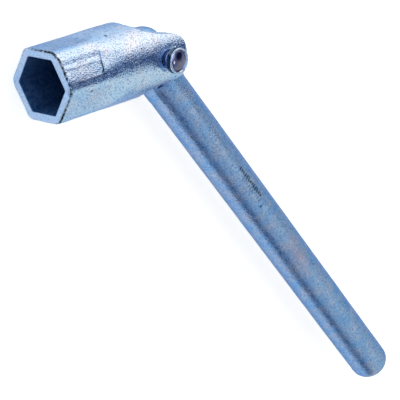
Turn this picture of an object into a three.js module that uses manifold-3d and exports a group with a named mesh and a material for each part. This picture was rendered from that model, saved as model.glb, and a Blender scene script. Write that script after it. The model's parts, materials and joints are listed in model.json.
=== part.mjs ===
// A hinged hexagon socket wrench: a forged socket head whose rear is forked, a round bar handle
// with a flattened eye, and one rivet with a flanged washer under each of its heads.
// Millimetres, +Z up. The wrench lies flat: the rivet stands along Z, the socket's mouth faces +X,
// and the handle is swung REST_BEND out of line with the socket.
import * as THREE from 'three';
import { mergeVertices } from 'three/addons/utils/BufferGeometryUtils.js';
import Module from 'manifold-3d';

const wasm = await Module();
wasm.setup();

// Driving dimensions, measured from the rivet's axis where a distance has no other start.
const ACROSS_FLATS = 22;          // the nut size that the socket takes
const BODY_RADIUS = 16;           // round rear of the head, and the corners of its hexagon
const MOUTH_X = 56.2;             // ring face of the socket
const SOCKET_DEPTH = 36;          // to the corners of its pointed bottom
const POINT_DEPTH = 4;
const HEX_FILLET = 4;             // outer corners at the mouth
const HEX_END_X = 37;             // where the pressed flats start to run out
const ROUND_X = 24;               // where the head is round again
const EAR_END = 9.9;              // from the rivet's axis to the ears' rear end
const EAR_HALF = 11.3;            // half-width of the ears on the steep side
const EAR_HALF_HOLLOW = 10.8;     // and on the side with the hollow shoulder
const EAR_REAR_HALF = 5;          // half-width of the ears' straight rear end, on the steep side
const EAR_REAR_HALF_HOLLOW = 3.5;
const EAR_TAPER_X = 1;            // where the ears start to narrow, on the steep side
const EAR_TAPER_X_HOLLOW = -4;
const EAR_TAPER = 2;              // how far the hollow side has come in there
const STEEP_SHOULDER_X = [9.2, 12.4];
const HOLLOW_SHOULDER_X = [3, 13.6];
const HOLLOW_DEPTH = 2;           // how far the hollow shoulder's curve pulls out at its middle
const SLOT_WIDTH = 10.6;
const SLOT_BOTTOM_X = 13;
const BAR_RADIUS = 9;
const HANDLE_TIP = 240.5;         // from the rivet's axis
const TIP_FILLET = 6.7;
const EYE_RADIUS = 11;
const EYE_THICKNESS = 10;
const EYE_ROUNDING = 4;           // the eye's rim bulges, as it does when a bar is forged flat
const BAR_START = 14;             // where the round bar starts, beyond the eye
const BAR_START_CHAMFER = [1, 2]; // off the radius, along the bar
const NECK_INSET = 0.4;           // the flattened neck is this much narrower than the bar, each side
const NECK_ANGLE = 62;            // degrees round the eye where the neck leaves it
const SHANK_RADIUS = 3;
const WASHER_RADIUS = 5.25;
const WASHER_NECK_RADIUS = 4;     // the washer narrows between its flange and its seat
const WASHER_TOP = 20.6;          // outer face of a washer, from the wrench's middle plane
const WASHER_THICKNESS = 5.2;
const FLANGE_THICKNESS = 2.1;
const WASHER_RECESS = 0.6;        // the rivet's head sits this deep in the washer
const WASHER_CHAMFER = 0.5;
const DOME_RADIUS = 4.2;
const DOME_TOP = 21;
const REST_BEND = 52;             // degrees that the handle is swung out of line

const GAP = 0.3;                  // between the faces of pieces that touch
const CLEAR = 2;                  // how far a cutter runs past what it cuts
const ROUND_SIDES = 48;
const BODY_SIDES = 72;
const RUN_OUT_STEPS = 5;          // along the stretch where the flats run out
const ARC_STEPS = 6;              // in each rounded quarter of a turned profile

const degrees = THREE.MathUtils.degToRad;

function solid(geometry) {
  const bare = geometry.clone();
  bare.deleteAttribute('normal');
  bare.deleteAttribute('uv');
  const merged = mergeVertices(bare, 1e-4);
  const mesh = new wasm.Mesh({
    numProp: 3,
    vertProperties: merged.attributes.position.array,
    triVerts: new Uint32Array(merged.index.array),
  });
  return new wasm.Manifold(mesh);
}

function geometryOf(manifold) {
  const { vertProperties, triVerts } = manifold.getMesh();
  const geometry = new THREE.BufferGeometry();
  geometry.setAttribute('position', new THREE.BufferAttribute(vertProperties, 3));
  geometry.setIndex(new THREE.BufferAttribute(triVerts, 1));
  geometry.computeVertexNormals();
  return geometry;
}

function subPart(name, geometry, colour, roughness) {
  const material = new THREE.MeshStandardMaterial({ color: colour, roughness, metalness: 1 });
  const mesh = new THREE.Mesh(geometry, material);
  mesh.name = name;
  return mesh;
}

// Turned shapes: pairs of (radius, height) spun about Z, or about X where the bar runs along X.
function turnedAboutZ(profile, sides) {
  const points = profile.map(([radius, height]) => new THREE.Vector2(radius, height));
  return new THREE.LatheGeometry(points, sides).rotateX(degrees(90));
}

function turnedAboutX(profile, sides) {
  return turnedAboutZ(profile, sides).rotateY(degrees(90));
}

// A flat plate whose edges are rounded inside its outline.
function plate(outline, thickness, rounding = 0) {
  const options = {
    depth: thickness - 2 * rounding,
    bevelEnabled: rounding > 0,
    bevelThickness: rounding,
    bevelSize: rounding,
    bevelOffset: -rounding,
    bevelSegments: 4,
    curveSegments: 10,
  };
  return new THREE.ExtrudeGeometry(outline, options).translate(0, 0, rounding - thickness / 2);
}

// Radius of a hexagon with rounded corners, whose corners touch the round body, at an angle from
// the middle of a flat. A fillet as large as the body's radius makes it a circle.
function hexRadius(angleFromFlat, fillet) {
  const fromCorner = degrees(30) - Math.abs(angleFromFlat);
  const cornerCentre = BODY_RADIUS - fillet;
  const apothem = fillet + cornerCentre * Math.cos(degrees(30));
  const onFlat = apothem / Math.cos(angleFromFlat);
  const flatHalf = cornerCentre * Math.sin(degrees(30));
  const reach = onFlat * Math.abs(Math.sin(angleFromFlat));
  if (reach <= flatHalf) {
    return onFlat;
  }
  const across = cornerCentre * Math.sin(fromCorner);
  return cornerCentre * Math.cos(fromCorner) + Math.sqrt(fillet ** 2 - across ** 2);
}

function filletAt(x) {
  const share = THREE.MathUtils.clamp((HEX_END_X - x) / (HEX_END_X - ROUND_X), 0, 1);
  return HEX_FILLET + share * (BODY_RADIUS - HEX_FILLET);
}

// The head's outside: round at the rear, pressed to six flats towards the mouth. Two of the flats
// are square to Y, so a corner points along the rivet.
function headOutside() {
  const rear = -EAR_END - CLEAR;
  const profile = [[0, rear], [BODY_RADIUS, rear]];
  for (let step = 0; step <= RUN_OUT_STEPS; step += 1) {
    profile.push([BODY_RADIUS, ROUND_X + (HEX_END_X - ROUND_X) * step / RUN_OUT_STEPS]);
  }
  profile.push([BODY_RADIUS, MOUTH_X], [0, MOUTH_X]);
  const geometry = turnedAboutX(profile, BODY_SIDES);
  const place = geometry.attributes.position;
  for (let i = 0; i < place.count; i += 1) {
    const radius = Math.hypot(place.getY(i), place.getZ(i));
    if (radius > BODY_RADIUS / 2) {
      const angle = Math.atan2(place.getZ(i), place.getY(i));
      const fromFlat = angle - degrees(60) * Math.round(angle / degrees(60));
      const scale = hexRadius(fromFlat, filletAt(place.getX(i))) / radius;
      place.setY(i, place.getY(i) * scale);
      place.setZ(i, place.getZ(i) * scale);
    }
  }
  return solid(geometry);
}

// Side view of the head, looking along the rivet: the ears narrow to a rounded end, and the full
// body starts at a long hollow shoulder on one side and a short steep one on the other.
function headSideView() {
  const clear = BODY_RADIUS + CLEAR;
  const [steepStart, steepEnd] = STEEP_SHOULDER_X;
  const [hollowStart, hollowEnd] = HOLLOW_SHOULDER_X;
  const hollowMiddle = (hollowStart + 2 * hollowEnd) / 3;
  const shape = new THREE.Shape();
  shape.moveTo(MOUTH_X + CLEAR, clear);
  shape.lineTo(steepEnd, clear);
  shape.lineTo(steepStart, EAR_HALF);
  shape.lineTo(EAR_TAPER_X, EAR_HALF);
  shape.bezierCurveTo(-EAR_END / 2, EAR_HALF, -EAR_END, 2 * EAR_REAR_HALF, -EAR_END, EAR_REAR_HALF);
  shape.lineTo(-EAR_END, -EAR_REAR_HALF_HOLLOW);
  const taperStart = EAR_TAPER - EAR_HALF_HOLLOW;
  shape.quadraticCurveTo(-EAR_END, -2 * EAR_REAR_HALF_HOLLOW, EAR_TAPER_X_HOLLOW, taperStart);
  shape.lineTo(hollowStart, -EAR_HALF_HOLLOW);
  shape.quadraticCurveTo(hollowMiddle, -EAR_HALF_HOLLOW - HOLLOW_DEPTH, hollowEnd, -BODY_RADIUS);
  shape.lineTo(hollowEnd + CLEAR, -clear);
  shape.lineTo(MOUTH_X + CLEAR, -clear);
  shape.closePath();
  return solid(plate(shape, 4 * BODY_RADIUS));
}

// The hexagon socket, with a corner towards the rivet and a pointed bottom.
function socketBore() {
  const corner = ACROSS_FLATS / 2 / Math.cos(degrees(30));
  const bottom = MOUTH_X - SOCKET_DEPTH;
  const end = MOUTH_X + CLEAR;
  const profile = [[0, bottom - POINT_DEPTH], [corner, bottom], [corner, end], [0, end]];
  return solid(turnedAboutX(profile, 6).rotateX(degrees(30)));
}

function forkSlot() {
  const length = SLOT_BOTTOM_X + EAR_END + CLEAR;
  const box = new THREE.BoxGeometry(length, 4 * BODY_RADIUS, SLOT_WIDTH);
  return solid(box.translate(SLOT_BOTTOM_X - length / 2, 0, 0));
}

function rivetHole(radius) {
  const reach = 2 * BODY_RADIUS;
  return solid(turnedAboutZ([[0, -reach], [radius, -reach], [radius, reach], [0, reach]], ROUND_SIDES));
}

// The flat seat that each washer lies in, cut into the round of the ear.
function washerSeat(side) {
  const inner = WASHER_TOP - WASHER_THICKNESS - GAP;
  const outer = inner + BODY_RADIUS;
  const radius = WASHER_RADIUS + GAP;
  const cutter = turnedAboutZ([[0, inner], [radius, inner], [radius, outer], [0, outer]], ROUND_SIDES);
  return solid(side > 0 ? cutter : cutter.rotateX(degrees(180)));
}

function socketHead() {
  let head = headOutside().intersect(headSideView());
  const cuts = [socketBore(), forkSlot(), rivetHole(SHANK_RADIUS + GAP), washerSeat(1), washerSeat(-1)];
  for (const cut of cuts) {
    head = head.subtract(cut);
  }
  return subPart('socket_head', geometryOf(head), 0xb4c4dc, 0.42);
}

// The round bar lies along X from the rivet's axis before it is swung.
function roundBar(start) {
  const [inset, length] = BAR_START_CHAMFER;
  const profile = [[0, start], [BAR_RADIUS - inset, start], [BAR_RADIUS, start + length]];
  const corner = HANDLE_TIP - TIP_FILLET;
  for (let step = 0; step <= ARC_STEPS; step += 1) {
    const angle = degrees(90 * step / ARC_STEPS);
    const radius = BAR_RADIUS - TIP_FILLET * (1 - Math.cos(angle));
    profile.push([radius, corner + TIP_FILLET * Math.sin(angle)]);
  }
  profile.push([0, HANDLE_TIP]);
  return solid(turnedAboutX(profile, ROUND_SIDES));
}

// The flattened end: a round eye whose neck runs into the bar.
function forgedEye(neckEnd) {
  const turn = degrees(NECK_ANGLE);
  const neckHalf = BAR_RADIUS - NECK_INSET;
  const outline = new THREE.Shape();
  outline.moveTo(neckEnd, neckHalf);
  outline.lineTo(EYE_RADIUS * Math.cos(turn), EYE_RADIUS * Math.sin(turn));
  outline.absarc(0, 0, EYE_RADIUS, turn, 2 * Math.PI - turn);
  outline.lineTo(neckEnd, -neckHalf);
  outline.closePath();
  return solid(plate(outline, EYE_THICKNESS, EYE_ROUNDING));
}

function handleBar() {
  const bar = roundBar(BAR_START).add(forgedEye(BAR_START + BAR_RADIUS));
  return subPart('handle_bar', geometryOf(bar.subtract(rivetHole(SHANK_RADIUS + GAP))), 0x9fb4d2, 0.45);
}

function rivetPin() {
  const seat = WASHER_TOP - WASHER_RECESS + GAP;
  const dome = [];
  const rise = DOME_TOP - seat;
  for (let step = 0; step < ARC_STEPS; step += 1) {
    const angle = degrees(90 * step / ARC_STEPS);
    dome.push([DOME_RADIUS * Math.cos(angle), seat + rise * Math.sin(angle)]);
  }
  dome.push([0, DOME_TOP]);
  const top = [[SHANK_RADIUS, seat], ...dome];
  const bottom = top.map(([radius, height]) => [radius, -height]).reverse();
  return subPart('rivet_pin', turnedAboutZ([...bottom, ...top], ROUND_SIDES), 0x8f8c9c, 0.15);
}

function washer(name, side) {
  const low = WASHER_TOP - WASHER_THICKNESS;
  const hole = SHANK_RADIUS + GAP;
  const profile = [
    [hole, low],
    [WASHER_NECK_RADIUS, low],
    [WASHER_NECK_RADIUS, WASHER_TOP - FLANGE_THICKNESS],
    [WASHER_RADIUS - WASHER_CHAMFER, WASHER_TOP - FLANGE_THICKNESS],
    [WASHER_RADIUS, WASHER_TOP - FLANGE_THICKNESS + WASHER_CHAMFER],
    [WASHER_RADIUS, WASHER_TOP - WASHER_CHAMFER],
    [WASHER_RADIUS - WASHER_CHAMFER, WASHER_TOP],
    [DOME_RADIUS + GAP, WASHER_TOP],
    [DOME_RADIUS + GAP, WASHER_TOP - WASHER_RECESS],
    [hole, WASHER_TOP - WASHER_RECESS],
    [hole, low],
  ];
  const ring = turnedAboutZ(profile, ROUND_SIDES);
  return subPart(name, side > 0 ? ring : ring.rotateX(degrees(180)), 0xb9c8de, 0.3);
}

const head = new THREE.Group();
head.add(socketHead(), rivetPin(), washer('upper_washer', 1), washer('lower_washer', -1));

const handle = new THREE.Group();
handle.add(handleBar());
handle.rotation.z = degrees(180 - REST_BEND);

const wrench = new THREE.Group();
wrench.add(head, handle);

// The origin is the middle of the wrench's footprint, on the surface that it lies on.
const extent = new THREE.Box3().setFromObject(wrench, true);
const middle = extent.getCenter(new THREE.Vector3());
wrench.position.set(-middle.x, -middle.y, -extent.min.z);

export default wrench;
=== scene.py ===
# A hinged hexagon socket wrench: forged head and round bar handle, zinc plated, and a bare rivet.
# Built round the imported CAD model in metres; the shapes below are reckoned in millimetres
# from the rivet's axis, with X out of the socket's mouth and Z along the rivet.
import json
import math

import bpy
import numpy as np
from mathutils import Matrix, Vector


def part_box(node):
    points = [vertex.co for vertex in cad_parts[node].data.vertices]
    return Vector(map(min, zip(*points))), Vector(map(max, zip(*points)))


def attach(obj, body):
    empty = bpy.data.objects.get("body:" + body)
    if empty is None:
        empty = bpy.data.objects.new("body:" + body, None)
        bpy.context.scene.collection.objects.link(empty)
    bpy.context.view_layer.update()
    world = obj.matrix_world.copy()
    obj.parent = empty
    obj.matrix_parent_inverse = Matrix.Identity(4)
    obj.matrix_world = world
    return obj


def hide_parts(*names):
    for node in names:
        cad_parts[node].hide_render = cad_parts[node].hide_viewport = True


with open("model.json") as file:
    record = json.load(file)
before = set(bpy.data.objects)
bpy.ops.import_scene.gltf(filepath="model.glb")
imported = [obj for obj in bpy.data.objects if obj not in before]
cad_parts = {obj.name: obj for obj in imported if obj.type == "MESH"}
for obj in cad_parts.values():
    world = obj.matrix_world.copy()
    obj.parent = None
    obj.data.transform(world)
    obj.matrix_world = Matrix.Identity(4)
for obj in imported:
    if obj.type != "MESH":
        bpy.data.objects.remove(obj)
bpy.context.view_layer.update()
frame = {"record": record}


# ---- Socket head --------------------------------------------------------------------------
# Drop-forged steel: a hexagon is pressed into a round blank, the rear is slotted into a fork
# and spot-faced for the rivet's washers. It is shot-blasted, then zinc plated and blued.
MM = 0.001
rivet_axis = Vector(frame["record"]["behaviour"]["joints"][0]["pos_m"])
head_low, head_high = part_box("socket_head")
mouth_x = (head_high.x - rivet_axis.x) / MM
ear_end_x = (head_low.x - rivet_axis.x) / MM
body_radius = (head_high.y - head_low.y) / 2 / MM

half_flats = 11.0                # the nut's across-flats is twice this
socket_corner = 0.9              # radius in the corners of the hexagon
socket_floor_x = mouth_x - 36.0
drill_point = 4.0                # how far the cone in the socket's floor reaches
corner_fillet = 4.0              # outer corners at the mouth
full_fillet = 11.0               # outer corners beside the struck flat
flats_end_x = 37.0               # the outer flats run out between these two
round_x = 24.0
flat_ratio = math.cos(math.radians(30))    # a hexagon's flats are nearer its middle than its corners

struck_turn = math.radians(30)   # the struck flat: how far round it is from Z
struck_spread = math.radians(31)     # how far to either side of it the corners are full
struck_height = 14.9             # its height over the axis
struck_bow = 36.0                # the radius that it is bowed to
struck_low = 2.7                 # where its lower edge starts at the mouth
struck_drift = 0.012             # how fast that edge rises towards the rear
struck_shallow = 6.5             # from here up it gets shallower, until it runs out

ear_fillet = (3.4, 2.6)          # rear corners, hollow side and steep side
slot_half = 5.3
slot_floor_x = 13.0
slot_corner = 2.5                # radius in the corners of the slot's floor
slot_edge = 0.5
slot_edge_more = 1.5             # rounder between the ears, which clears the bent bar's shoulder
seat_radius = 5.55               # spot faces for the washers
seat_height = 15.1
rivet_hole = 3.3
cut_edge = 0.3                   # edges that a cutter left and the blasting rounded

head_nicks = ((26.7, 64.0, 0.6), (44.2, -9.0, 0.5))    # x, degrees round from the top, radius
# Side view of the fork, as x and height over the axis: its hollow side and its steep side.
hollow_side = ((-12, 7.3), (-6, 8.8), (-1, 9.9), (3, 10.8), (8, 12.7), (12, 15.0), (13.4, 16.3), (18, 21.0))
steep_side = ((-12, 8.6), (-6.5, 10.2), (-3, 10.9), (1, 11.3), (8.8, 11.4), (11.4, 15.8), (13, 19.0))


def smooth_ramp(value):
    value = np.clip(value, 0.0, 1.0)
    return value * value * (3.0 - 2.0 * value)


def both(a, b, radius):
    """Distance to what two shapes share, with a rounded edge."""
    corner = np.hypot(np.maximum(a + radius, 0.0), np.maximum(b + radius, 0.0))
    return np.minimum(np.maximum(a, b), -radius) + corner


def either(a, b, radius):
    """Distance to two shapes joined, with a fillet between them."""
    return -both(-a, -b, radius)


def without(a, b, radius):
    """Distance to the first shape once the second is cut out of it."""
    return both(a, -b, radius)


def hexagon(y, z, apothem):
    """Distance to a hexagon with two flats square to Y and a corner along Z."""
    across, along = np.abs(z), np.abs(y)
    tilt = math.radians(30)
    beyond = 2.0 * np.minimum(along * math.sin(tilt) - across * math.cos(tilt), 0.0)
    across = across + beyond * math.cos(tilt)
    along = along - beyond * math.sin(tilt)
    side = math.tan(tilt) * apothem
    across = across - np.clip(across, -side, side)
    along = along - apothem
    return np.hypot(across, along) * np.sign(along)


def outline(x, points):
    """A side-view outline through a few points, eased over 2 mm, and its slant."""
    xs, ys = zip(*points)
    height = sum(np.interp(x + shift, xs, ys) for shift in (-0.9, -0.3, 0.3, 0.9)) / 4
    slope = (np.interp(x + 1.0, xs, ys) - np.interp(x - 1.0, xs, ys)) / 2.0
    return height, np.sqrt(1.0 + slope * slope)


def swells(x, y, z, size):
    """Slow unevenness of a hammered or rolled skin, between -1 and 1."""
    a, b, c = x / size, y / size, z / size
    first = np.sin(2.1 * a + 1.3 * np.sin(1.7 * b + 0.4)) * np.sin(1.9 * c + 0.8 * a)
    second = np.sin(3.7 * b - 1.1 * c + 2.0 * np.sin(0.9 * a)) * np.cos(2.6 * a + 1.4 * c)
    return 0.6 * first + 0.4 * second


def struck_end(w):
    """Where the struck flat stops: a slanting line that curls back at its lower corner."""
    slant = 0.16 * (w - 5.0)
    curl = 0.45 * np.maximum(4.8 - w, 0.0) ** 2
    return flats_end_x - 0.3 - slant + curl


def head_skin(x, y, z):
    """The forging before it is cut: round behind, six flats in front, one of them struck deeper."""
    w = -y
    run_out = smooth_ramp((flats_end_x - x) / (flats_end_x - round_x))
    beside_struck = smooth_ramp(1.0 - np.abs(np.arctan2(w, z) - struck_turn) / struck_spread)
    near_mouth = corner_fillet + (full_fillet - corner_fillet) * np.minimum(3.0 * beside_struck, 1.0)
    fillet = near_mouth + (body_radius - near_mouth) * run_out
    skin = hexagon(y, z, (body_radius - fillet) * flat_ratio) - fillet

    inward = struck_height - struck_bow
    bowed = np.hypot(z - inward * math.cos(struck_turn), w - inward * math.sin(struck_turn))
    shallower = 0.06 * np.maximum(w - struck_shallow, 0.0) ** 2
    struck = both(struck_bow + shallower - bowed, struck_end(w) - x, 0.05)
    struck = both(struck, struck_low + struck_drift * (mouth_x - x) - w, 0.2)
    crisp_below_soft_above = 0.10 + 1.4 * smooth_ramp((w - 7.0) / 3.0)
    skin = without(skin, struck, crisp_below_soft_above)

    at_mouth = smooth_ramp((x - mouth_x + 9.0) / 9.0)
    return skin + 0.05 * swells(x, y, z, 5.0) + 0.10 * at_mouth * swells(y, z, x, 3.0)


def socket(x, y, z):
    hollow = hexagon(y, z, half_flats - socket_corner) - socket_corner
    floor = socket_floor_x - drill_point * (1.0 - np.hypot(y, z) / half_flats) - x
    return both(hollow, floor, 1.0)


def head_shape(x, y, z):
    head = both(head_skin(x, y, z), x - mouth_x, 0.45)
    hollow, hollow_slant = outline(x, hollow_side)
    steep, steep_slant = outline(x, steep_side)
    upper = both((-y - hollow) / hollow_slant, ear_end_x - x, ear_fillet[0])
    lower = both((y - steep) / steep_slant, ear_end_x - x, ear_fillet[1])
    head = both(head, np.maximum(upper, lower), cut_edge)
    head = without(head, socket(x, y, z), cut_edge)
    slot = both(np.abs(z) - slot_half, x - slot_floor_x, slot_corner)
    between_ears = smooth_ramp((slot_floor_x - 1.0 - x) / 3.0)
    head = without(head, slot, slot_edge + slot_edge_more * between_ears)
    from_axis = np.hypot(x, y)
    head = without(head, both(from_axis - seat_radius, seat_height - np.abs(z), 0.25), 0.25)
    return without(head, from_axis - rivet_hole, cut_edge)


def skinned(shape, low, high, step):
    """A closed mesh of quads over the surface where a distance is zero.

    Each grid cell that the surface passes through gets one point, which is then moved onto it.
    """
    counts = [int(math.ceil((b - a) / step)) + 1 for a, b in zip(low, high)]
    axes = [a + step * np.arange(n) for a, n in zip(low, counts)]
    field = shape(*np.meshgrid(*axes, indexing="ij"))
    inside = field < 0.0
    held = np.zeros([n - 1 for n in counts], dtype=np.int8)
    offsets = [(i, j, k) for i in (0, 1) for j in (0, 1) for k in (0, 1)]
    for i, j, k in offsets:
        held += inside[i:counts[0] - 1 + i, j:counts[1] - 1 + j, k:counts[2] - 1 + k]
    cells = np.argwhere((held > 0) & (held < 8))
    index = np.full(held.shape, -1)
    index[tuple(cells.T)] = np.arange(len(cells))

    total = np.zeros((len(cells), 3))
    crossings = np.zeros(len(cells))
    for start in offsets:
        for axis in range(3):
            if start[axis] == 1:
                continue
            end = tuple(1 if n == axis else v for n, v in enumerate(start))
            a = field[tuple((cells + start).T)]
            b = field[tuple((cells + end).T)]
            crossed = (a < 0.0) != (b < 0.0)
            share = np.where(crossed, a / np.where(crossed, a - b, 1.0), 0.0)
            place = cells + np.array(start, dtype=float)
            place[:, axis] += share
            total += place * crossed[:, None]
            crossings += crossed
    points = np.array(low) + step * total / crossings[:, None]

    probe = 0.02 * step
    furthest = 0.4 * step
    for _ in range(2):
        here = shape(*points.T)
        slope = np.empty_like(points)
        for axis in range(3):
            moved = points.copy()
            moved[:, axis] += probe
            slope[:, axis] = (shape(*moved.T) - here) / probe
        length = np.maximum((slope * slope).sum(axis=1), 0.25)
        points -= np.clip(slope * (here / length)[:, None], -furthest, furthest)

    faces = []
    for axis in range(3):
        u, v = (axis + 1) % 3, (axis + 2) % 3
        first = inside.take(range(counts[axis] - 1), axis=axis)
        second = inside.take(range(1, counts[axis]), axis=axis)
        edges = np.argwhere(first != second)
        out = first[tuple(edges.T)]
        ring = []
        for du, dv in ((-1, -1), (0, -1), (0, 0), (-1, 0)):
            cell = edges.copy()
            cell[:, u] += du
            cell[:, v] += dv
            ring.append(index[tuple(cell.T)])
        quads = np.stack(ring, axis=1)
        quads[~out] = quads[~out][:, ::-1]
        faces.append(quads)
    return points, np.concatenate(faces)


def piece(name, points, faces, turn=0.0):
    """A smooth-shaded object whose points are in millimetres from the rivet's axis."""
    mesh = bpy.data.meshes.new(name)
    mesh.from_pydata([tuple(p) for p in points], [], [tuple(f) for f in faces])
    mesh.transform(Matrix.Translation(rivet_axis) @ Matrix.Rotation(turn, 4, "Z") @ Matrix.Scale(MM, 4))
    mesh.polygons.foreach_set("use_smooth", [True] * len(mesh.polygons))
    made = bpy.data.objects.new(name, mesh)
    bpy.context.scene.collection.objects.link(made)
    return made


def mark(made, name, values):
    """Stores one number for each point of a piece, for its material to read."""
    stored = made.data.attributes.new(name, "FLOAT", "POINT")
    stored.data.foreach_set("value", np.asarray(values, dtype=float))


def colour(code):
    """An sRGB hex colour as the linear colour that a shader takes."""
    parts = [int(code[i:i + 2], 16) / 255 for i in (1, 3, 5)]
    return tuple(c / 12.92 if c <= 0.04045 else ((c + 0.055) / 1.055) ** 2.4 for c in parts) + (1.0,)


def node(tree, kind, inputs=None, stops=(), **settings):
    """Adds one shader node with its settings, and sets or links its inputs by name or number."""
    made = tree.nodes.new("ShaderNode" + kind)
    for name, value in settings.items():
        setattr(made, name, value)
    for name, value in (inputs or {}).items():
        if isinstance(value, bpy.types.NodeSocket):
            tree.links.new(value, made.inputs[name])
        else:
            made.inputs[name].default_value = value
    for count, (place, level) in enumerate(stops):
        points = made.color_ramp.elements
        point = points[count] if count < 2 else points.new(place)
        point.position = place
        point.color = colour(level) if isinstance(level, str) else (level, level, level, 1.0)
    return made


def blued_zinc(name, film, clouds, grain_mm, grain_depth_mm, dull, marks, thin_plate=None):
    """Zinc plate with a thin blue passivation, over steel that was blasted before it was plated.

    The eye gets pale blue metal in soft clouds, broken up by the stipple of the blasting, with
    sharp dark flecks where the plate missed. film holds its two shades, dull its least and most
    roughness, and marks is a list of (stored attribute, colour, how far flakes break it up).
    thin_plate names the attribute of a hollow that the plating hardly reached, which stays dull.
    """
    made = bpy.data.materials.new(name)
    made.use_nodes = True
    tree = made.node_tree
    tree.nodes.clear()
    place = node(tree, "TexCoord").outputs["Object"]

    cloud = node(tree, "TexNoise", {"Vector": place, "Scale": 1 / (clouds * MM), "Detail": 4.0})
    share = node(tree, "ValToRGB", {"Fac": cloud.outputs["Fac"]}, ((0.36, 0.0), (0.66, 1.0)))
    shade = node(tree, "Mix", {0: share.outputs[0], 6: colour(film[0]), 7: colour(film[1])},
                 data_type="RGBA")

    # Grit leaves dents of 0.2 to 0.4 mm; the grain is drawn about twice as coarse, so that it shows.
    grain = node(tree, "TexNoise", {"Vector": place, "Scale": 1 / (grain_mm * MM), "Detail": 1.5,
                                    "Roughness": 0.6})
    pit = node(tree, "ValToRGB", {"Fac": grain.outputs["Fac"]}, ((0.34, "#6b86b8"), (0.50, "#ffffff")))
    shade = node(tree, "Mix", {0: 0.60, 6: shade.outputs[2], 7: pit.outputs[0]}, data_type="RGBA",
                 blend_type="MULTIPLY")

    # Dark flecks just under a millimetre across. They lie 9 mm apart in depth too, so few show.
    fleck = node(tree, "TexVoronoi", {"Vector": place, "Scale": 1 / (9.0 * MM)})
    missed = node(tree, "ValToRGB", {"Fac": fleck.outputs["Distance"]}, ((0.035, 1.0), (0.06, 0.0)))
    shade = node(tree, "Mix", {0: missed.outputs[0], 6: shade.outputs[2], 7: colour("#2b3546")},
                 data_type="RGBA")

    flake = node(tree, "TexNoise", {"Vector": place, "Scale": 1 / (1.5 * MM), "Detail": 3.0,
                                    "Roughness": 0.7})
    for attribute, mark_colour, broken in marks:
        stored = node(tree, "Attribute", attribute_name=attribute)
        edge = node(tree, "ValToRGB", {"Fac": flake.outputs["Fac"]},
                    ((0.50 - 0.12 * broken, 1.0 - broken), (0.54, 1.0)))
        amount = node(tree, "Math", {0: stored.outputs["Fac"], 1: edge.outputs[0]}, operation="MULTIPLY")
        shade = node(tree, "Mix", {0: amount.outputs[0], 6: shade.outputs[2], 7: colour(mark_colour)},
                     data_type="RGBA")

    worn = node(tree, "TexNoise", {"Vector": place, "Scale": 1 / (4.0 * MM), "Detail": 3.0})
    rough = node(tree, "MapRange", {"Value": worn.outputs["Fac"], "From Min": 0.3, "From Max": 0.7,
                                    "To Min": dull[0], "To Max": dull[1]})
    bump = node(tree, "Bump", {"Strength": 1.0, "Distance": grain_depth_mm * MM,
                               "Height": grain.outputs["Fac"]})
    shader = node(tree, "BsdfPrincipled", {"Base Color": shade.outputs[2], "Metallic": 1.0,
                                           "Specular Tint": colour("#a3b6d2"),
                                           "Roughness": rough.outputs[0], "Normal": bump.outputs[0]})
    if thin_plate:
        hollow = node(tree, "Attribute", attribute_name=thin_plate)
        for quality, outside, inside in (("Metallic", 1.0, 0.25), ("Roughness", rough.outputs[0], 0.5)):
            blend = node(tree, "Mix", {0: hollow.outputs["Fac"], 2: outside, 3: inside}, data_type="FLOAT")
            tree.links.new(blend.outputs[0], shader.inputs[quality])
    node(tree, "OutputMaterial", {"Surface": shader.outputs[0]})
    return made


# Pale silver-blue with a dense stipple, near black where the press and the mouth left burrs, with painted
# shade in the socket, on the mouth's end face and in the struck flat's step, and a painted dark reflection
# along the crease under the flat.
head_zinc = blued_zinc("blued_zinc_on_blasted_forging", ("#a6c5e6", "#b8c7de"), 8.0, 0.70, 0.18, (0.14, 0.22),
                       (("socket_shade_and_thin_plate", "#1d4a7c", 0.1), ("ring_face_shade", "#7f9fca", 0.3),
                        ("mouth_burr", "#08090d", 0.9), ("nick", "#141a28", 0.2),
                        ("struck_step_shade", "#0d0f17", 0.2), ("crease_dark_reflection", "#162a5e", 0.1)), "socket_shade_and_thin_plate")

points, faces = skinned(head_shape, (ear_end_x - 1.0, -body_radius - 1.0, -body_radius - 1.0),
                        (mouth_x + 1.0, body_radius + 1.0, body_radius + 1.0), 0.36)
head = piece("forged_head", points, faces)
x, y, z = points.T
w = -y
bore = socket(x, y, z)
skin = head_skin(x, y, z)
on_skin = skin > -0.5
around = np.degrees(np.arctan2(w, z))

# The socket's inside is painted dark navy, as painted shade in the deep hollow; it is also dull there, where
# the plating is thin.
mark(head, "socket_shade_and_thin_plate", smooth_ramp((0.25 - bore) / 0.25) * (x > socket_floor_x - 5.0))
# The mouth's end face is painted a darker blue: painted shade on that face.
on_ring = smooth_ramp((x - mouth_x + 0.35) / 0.2) * smooth_ramp((-skin - 0.5) / 0.4)
mark(head, "ring_face_shade", 0.55 * on_ring)

# The burr is heaviest on the struck side, and one corner of the mouth is chipped.
outer_edge = smooth_ramp((x - mouth_x + 1.1) / 0.6) * smooth_ramp((skin + 0.9) / 0.5)
burred_side = smooth_ramp((around + 75.0) / 20.0) * smooth_ramp((125.0 - around) / 35.0)
chip = np.exp(-(((x - mouth_x) / 1.3) ** 2 + ((y - 0.6) / 1.6) ** 2 + ((z - body_radius) / 1.2) ** 2))
mark(head, "mouth_burr", np.maximum(outer_edge * (0.2 + 0.8 * burred_side), chip))

# Painted shade, near black, in the step at the struck flat's end, up to where the flat runs out.
on_step = np.exp(-((x - struck_end(w)) / 0.3) ** 2) * (z > 0) * on_skin
mark(head, "struck_step_shade", on_step * smooth_ramp((w - 2.6) / 1.0) * smooth_ramp((7.9 - w) / 0.8))
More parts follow.
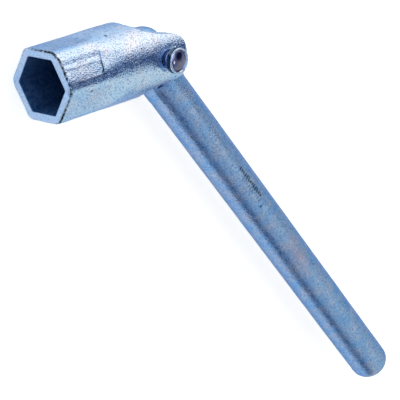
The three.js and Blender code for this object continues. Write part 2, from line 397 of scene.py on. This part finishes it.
# A painted dark reflection, navy, along the crease under the struck flat.
under_flat = np.exp(-((w - struck_low) / 0.33) ** 2) * (z > 0) * on_skin
mark(head, "crease_dark_reflection", under_flat * smooth_ramp((x - flats_end_x + 2.0) / 2.0))

nick = np.zeros(len(x))
for along, turn, radius in head_nicks:
    off = np.hypot(x - along, (around - turn) * math.radians(1) * body_radius)
    nick = np.maximum(nick, smooth_ramp((radius - off) / 0.4 + 0.5) * on_skin)
mark(head, "nick", nick)
head.data.materials.append(head_zinc)
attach(head, "head")
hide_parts("socket_head")


# ---- Handle -------------------------------------------------------------------------------
# Round rolled bar. One end is forged flat into an eye between the fork's ears; the other is
# turned off round. It is zinc plated too, and has two rows of punch marks, a few nicks and a stain.
rest_bend = math.radians(52)     # how far it is bent from straight
bar_radius = 9.0
bar_start = 12.8                 # where it is full round, from the rivet
shoulder_fillet = 0.8
bar_end = 240.45
end_fillet = 6.7
eye_radius = 11.3
eye_half = 5.0                   # half the eye's thickness
eye_fillet = 4.6
chisel = (0.42, 0.75, 0.3)       # a chisel mark's half width, half length and depth

# Along the bar from the rivet, in millimetres, and degrees round from the top.
punch_row = (76.0, 19.5, 13, -4.0)       # start, length, number of marks, degrees
faint_row = (81.0, 16.0, 10, 9.0)
nicks = ((188.9, 56.6, 0.55), (100.1, 15.1, 0.6), (97.0, 12.0, 0.35), (151.0, -14.0, 0.35))
stain_middle = (138.0, 12.0)
stain_reach = (12.0, 4.0)


def punched(x, y, z, row):
    """Distance to a row of small chisel marks along the bar, struck unevenly."""
    start, length, count, turn = row
    angle = math.radians(turn)
    across = y * math.cos(angle) + z * math.sin(angle)
    pitch = length / (count - 1)
    nearest = np.clip(np.round((x - start) / pitch), 0, count - 1)
    along = x - start - nearest * pitch
    lean = along - 0.30 * across * np.sin(2.3 * nearest)
    height = z * math.cos(angle) - y * math.sin(angle) - bar_radius
    half_width, half_length, depth = chisel
    half_length = half_length + 0.25 * np.sin(5.1 * nearest)
    outline_distance = np.hypot(lean / half_width, across / half_length) - 1.0
    return np.maximum(outline_distance, -height / depth - 1.0) * depth


def handle_shape(x, y, z):
    bar = np.hypot(y, z) - bar_radius + 0.02 + 0.04 * swells(x / 3.0, y, z, 4.0)
    eye = both(np.hypot(x, y) - eye_radius, np.abs(z) - eye_half, eye_fillet)
    neck = both(both(bar, np.abs(z) - eye_half, 0.8), np.maximum(-x, x - bar_start - bar_radius), 0.3)
    bar = both(both(bar, x - bar_end, end_fillet), bar_start - x, shoulder_fillet)
    handle = either(either(bar, neck, 0.5), eye, 1.0)
    handle = without(handle, punched(x, y, z, punch_row), 0.05)
    return without(handle, np.hypot(x, y) - rivet_hole, cut_edge)


# Bluer and duller than the head, as rolled bar plates, with a soft mottle and one pinkish stain.
bar_zinc = blued_zinc("blued_zinc_on_rolled_bar", ("#7ba3d0", "#9aabc8"), 6.0, 0.7, 0.16, (0.22, 0.31),
                      (("stain", "#a5868f", 1.0), ("punch", "#131824", 0.0)))

points, faces = skinned(handle_shape, (-eye_radius - 1.0, -eye_radius - 1.0, -bar_radius - 1.0),
                        (bar_end + 1.0, eye_radius + 1.0, bar_radius + 1.0), 0.42)
handle = piece("bar_handle", points, faces, math.pi - rest_bend)
x, y, z = points.T
around = np.degrees(np.arctan2(-y, z))
one_degree = math.radians(1) * bar_radius
punch = np.maximum(smooth_ramp((0.16 - punched(x, y, z, punch_row)) / 0.2),
                   0.6 * smooth_ramp((0.10 - punched(x, y, z, faint_row)) / 0.2)) * (z > 0)
for along, turn, radius in nicks:
    off = np.hypot(x - along, (around - turn) * one_degree)
    punch = np.maximum(punch, smooth_ramp((radius - off) / 0.4 + 0.5))
mark(handle, "punch", 0.9 * punch)
off = np.hypot((x - stain_middle[0]) / stain_reach[0],
               (around - stain_middle[1]) * one_degree / stain_reach[1])
mark(handle, "stain", 0.55 * np.exp(-off ** 2))
handle.data.materials.append(bar_zinc)
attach(handle, "handle")
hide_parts("handle_bar")


# ---- Washers ------------------------------------------------------------------------------
# Flanged washers, turned and zinc plated like the head. The neck of each stands in a spot face
# on its ear; the flange is rounded over and dished for the rivet's head.
washer_radius = 5.25
washer_top = 20.9
washer_foot = 15.4
flange_foot = 17.8
neck_radius = 4.0
neck_fillet = 0.4                # between the neck and the flange
rim_radius = 0.45                # rounding of the flange
washer_recess = 1.1
dome_radius = 4.35               # of the rivet's head, which fills the recess but for the clearance
dome_clearance = 0.1
shank_radius = 3.0
shank_clearance = 0.3


def arc(centre, radius, start, end, steps):
    """Points on a circle in the (distance from axis, height) plane, angles in degrees."""
    angles = np.radians(np.linspace(start, end, steps + 1))
    return [(centre[0] + radius * math.cos(a), centre[1] + radius * math.sin(a)) for a in angles]


def turned(name, profile, side, closed, segments=96):
    """Spins a profile about the rivet's axis. side is 1 above the wrench and -1 below it."""
    ring = np.radians(np.arange(segments) * 360.0 / segments)
    points, rows = [], []
    for radius, height in profile:
        if radius < 1e-6:
            rows.append([len(points)])
            points.append((0.0, 0.0, height * side))
        else:
            rows.append(list(range(len(points), len(points) + segments)))
            points.extend((radius * math.cos(a), radius * math.sin(a), height * side) for a in ring)
    faces = []
    pairs = list(zip(rows, rows[1:] + rows[:1])) if closed else list(zip(rows, rows[1:]))
    for low, high in pairs:
        for i in range(segments):
            j = (i + 1) % segments
            corners = [low[i % len(low)], low[j % len(low)], high[j % len(high)], high[i % len(high)]]
            face = list(dict.fromkeys(corners))
            faces.append(face if side > 0 else face[::-1])
    return piece(name, points, faces)


# Smooth and bright, as a turned surface plates, with painted shade, near black, round the flange's wall.
ring_zinc = blued_zinc("blued_zinc_on_turned_ring", ("#c6d4ea", "#a9bfdf"), 3.0, 0.5, 0.03, (0.10, 0.18),
                       (("flange_wall_shade", "#0b1224", 0.1),))

hole = shank_radius + shank_clearance
step_radius = dome_radius + dome_clearance
rim_x = washer_radius - rim_radius
wall_low = flange_foot + 0.75
wall_high = washer_top - 0.65
washer_profile = [(hole, washer_foot), (neck_radius, washer_foot)]
washer_profile += arc((neck_radius + neck_fillet, flange_foot - neck_fillet), neck_fillet, 180, 90, 4)
washer_profile += arc((rim_x, flange_foot + rim_radius), rim_radius, -90, 0, 8)
washer_profile += [(washer_radius, wall_low), (washer_radius, wall_high)]
washer_profile += arc((rim_x, washer_top - rim_radius), rim_radius, 0, 130, 10)
washer_profile += [(step_radius, washer_top - washer_recess), (hole, washer_top - washer_recess)]
hair = 0.01
for name, cad_node, side in (("washer_ring_upper", "upper_washer", 1),
                             ("washer_ring_lower", "lower_washer", -1)):
    ring = turned(name, washer_profile, side, closed=True)
    copies = len(ring.data.vertices) // len(washer_profile)
    radii, heights = np.repeat(np.array(washer_profile), copies, axis=0).T
    # The flange's wall is painted near black: painted shade under the rounded rim.
    on_wall = (radii > washer_radius - hair) * (heights > wall_low - hair) * (heights < wall_high + hair)
    mark(ring, "flange_wall_shade", 0.92 * on_wall)
    ring.data.materials.append(ring_zinc)
    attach(ring, "head")
    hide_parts(cad_node)


# ---- Rivet --------------------------------------------------------------------------------
# A 6 mm steel rivet through fork and eye. Its two heads are pressed into smooth domes, which
# handling has polished, so they mirror the room darkly.
dome_top = 21.0
dome_steps = 16

# Bare polished steel: a dark grey-violet mirror with fine handling scratches. Those are drawn
# several times as coarse as they are, so that they soften the reflections.
rivet_steel = bpy.data.materials.new("polished_rivet_steel")
rivet_steel.use_nodes = True
tree = rivet_steel.node_tree
tree.nodes.clear()
place = node(tree, "TexCoord").outputs["Object"]
cloud = node(tree, "TexNoise", {"Vector": place, "Scale": 1 / (2.0 * MM), "Detail": 3.0})
share = node(tree, "ValToRGB", {"Fac": cloud.outputs["Fac"]}, ((0.35, "#6a687e"), (0.7, "#575a78")))
scratch = node(tree, "TexNoise", {"Vector": place, "Scale": 1 / (0.4 * MM), "Detail": 3.0})
rough = node(tree, "MapRange", {"Value": scratch.outputs["Fac"], "To Min": 0.05, "To Max": 0.18})
bump = node(tree, "Bump", {"Distance": 0.012 * MM, "Height": scratch.outputs["Fac"]})
shader = node(tree, "BsdfPrincipled", {"Base Color": share.outputs[0], "Metallic": 1.0,
                                       "Roughness": rough.outputs[0], "Normal": bump.outputs[0]})
node(tree, "OutputMaterial", {"Surface": shader.outputs[0]})

seat = washer_top - washer_recess + dome_clearance
rise = dome_top - seat
bend = np.radians(np.linspace(0, 90, dome_steps))
dome = [(dome_radius * math.cos(a), seat + rise * math.sin(a)) for a in bend]
dome[-1] = (0.0, dome_top)
half_rivet = [(shank_radius, seat), (dome_radius - dome_clearance, seat)] + dome
profile = [(r, -h) for r, h in reversed(half_rivet)] + half_rivet
rivet = turned("rivet", profile, 1, closed=False)
rivet.data.materials.append(rivet_steel)
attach(rivet, "head")
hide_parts("rivet_pin")


# ---- Studio -------------------------------------------------------------------------------
# A pale floor just under the wrench, a plain room whose soft bright and dark screens the metal
# mirrors, and one large soft light overhead.
floor_mesh = bpy.data.meshes.new("floor")
reach = 6.0
under = -0.0005
corners = [(-reach, -reach, under), (reach, -reach, under), (reach, reach, under), (-reach, reach, under)]
floor_mesh.from_pydata(corners, [], [(0, 1, 2, 3)])
floor = bpy.data.objects.new("floor", floor_mesh)
bpy.context.scene.collection.objects.link(floor)
# Matt white board lit evenly from below: it stays near white and keeps only a faint shadow.
pale = bpy.data.materials.new("pale_lit_table")
pale.use_nodes = True
tree = pale.node_tree
tree.nodes.clear()
matt = node(tree, "BsdfDiffuse", {"Color": (0.90, 0.86, 0.78, 1.0)})
glow = node(tree, "Emission", {"Color": (1.0, 0.98, 0.96, 1.0), "Strength": 0.52})
lit = node(tree, "AddShader", {0: matt.outputs[0], 1: glow.outputs[0]})
node(tree, "OutputMaterial", {"Surface": lit.outputs[0]})
floor.data.materials.append(pale)

room = bpy.data.worlds.new("soft_room")
bpy.context.scene.world = room
room.use_nodes = True
tree = room.node_tree
tree.nodes.clear()
heading = node(tree, "TexCoord").outputs["Generated"]
room_tone = (0.50, 0.60, 0.74, 1.0)
# Soft screens of the room: direction, degrees that are full, degrees that fade, and brightness.
screens = (
    ((-0.68, 0.70, 0.20), 26, 24, (1.12, 1.14, 1.02)),
    ((-0.68, -0.70, 0.24), 14, 23, (2.30, 1.88, 1.52)),
    ((-0.69, -0.03, 0.72), 10.5, 8.5, (0.02, 0.05, 0.16)),
    ((0.11, 0.97, 0.20), 8, 12, (0.06, 0.10, 0.20)),
    ((0.20, 0.25, 0.95), 13, 12, (0.01, 0.01, 0.02)),
    ((-0.285, 0.248, 0.926), 3.5, 2, (6.5, 6.5, 6.0)),
)
shade = room_tone
for direction, full, fading, brightness in screens:
    aim = tuple(Vector(direction).normalized())
    dot = node(tree, "VectorMath", {0: heading, 1: aim}, operation="DOT_PRODUCT")
    amount = node(tree, "MapRange", {"Value": dot.outputs["Value"],
                                     "From Min": math.cos(math.radians(full + fading)),
                                     "From Max": math.cos(math.radians(full))},
                  interpolation_type="SMOOTHSTEP")
    mix = node(tree, "Mix", {0: amount.outputs[0], 6: shade, 7: brightness + (1.0,)}, data_type="RGBA")
    shade = mix.outputs[2]
back = node(tree, "Background", {"Color": shade, "Strength": 1.0})
node(tree, "OutputWorld", {"Surface": back.outputs[0]})

lamp = bpy.data.lights.new("overhead", "AREA")
lamp.shape = "DISK"
lamp.size = 1.4
lamp.energy = 8
overhead = bpy.data.objects.new("overhead", lamp)
overhead.location = (0.2, -0.5, 1.6)
overhead.rotation_euler = (-overhead.location).to_track_quat("-Z", "Y").to_euler()
bpy.context.scene.collection.objects.link(overhead)

# The camera looks down at the mouth and the rivet, with the bar falling away to the right.
lens_place = rivet_axis + Vector((565.3, -200.6, 545.0)) * MM
across_view = Vector((-0.6618, 0.0498, 0.748))
up_view = Vector((-0.2701, -0.9466, -0.176))
back_view = across_view.cross(up_view)
camera_data = bpy.data.cameras.new("camera")
camera_data.sensor_width = 36.0
camera_data.lens = 180.5
camera = bpy.data.objects.new("camera", camera_data)
turn = Matrix((across_view, up_view, back_view)).transposed().to_4x4()
camera.matrix_world = Matrix.Translation(lens_place) @ turn
bpy.context.scene.collection.objects.link(camera)
bpy.context.scene.camera = camera
bpy.context.scene.view_settings.view_transform = "Standard"
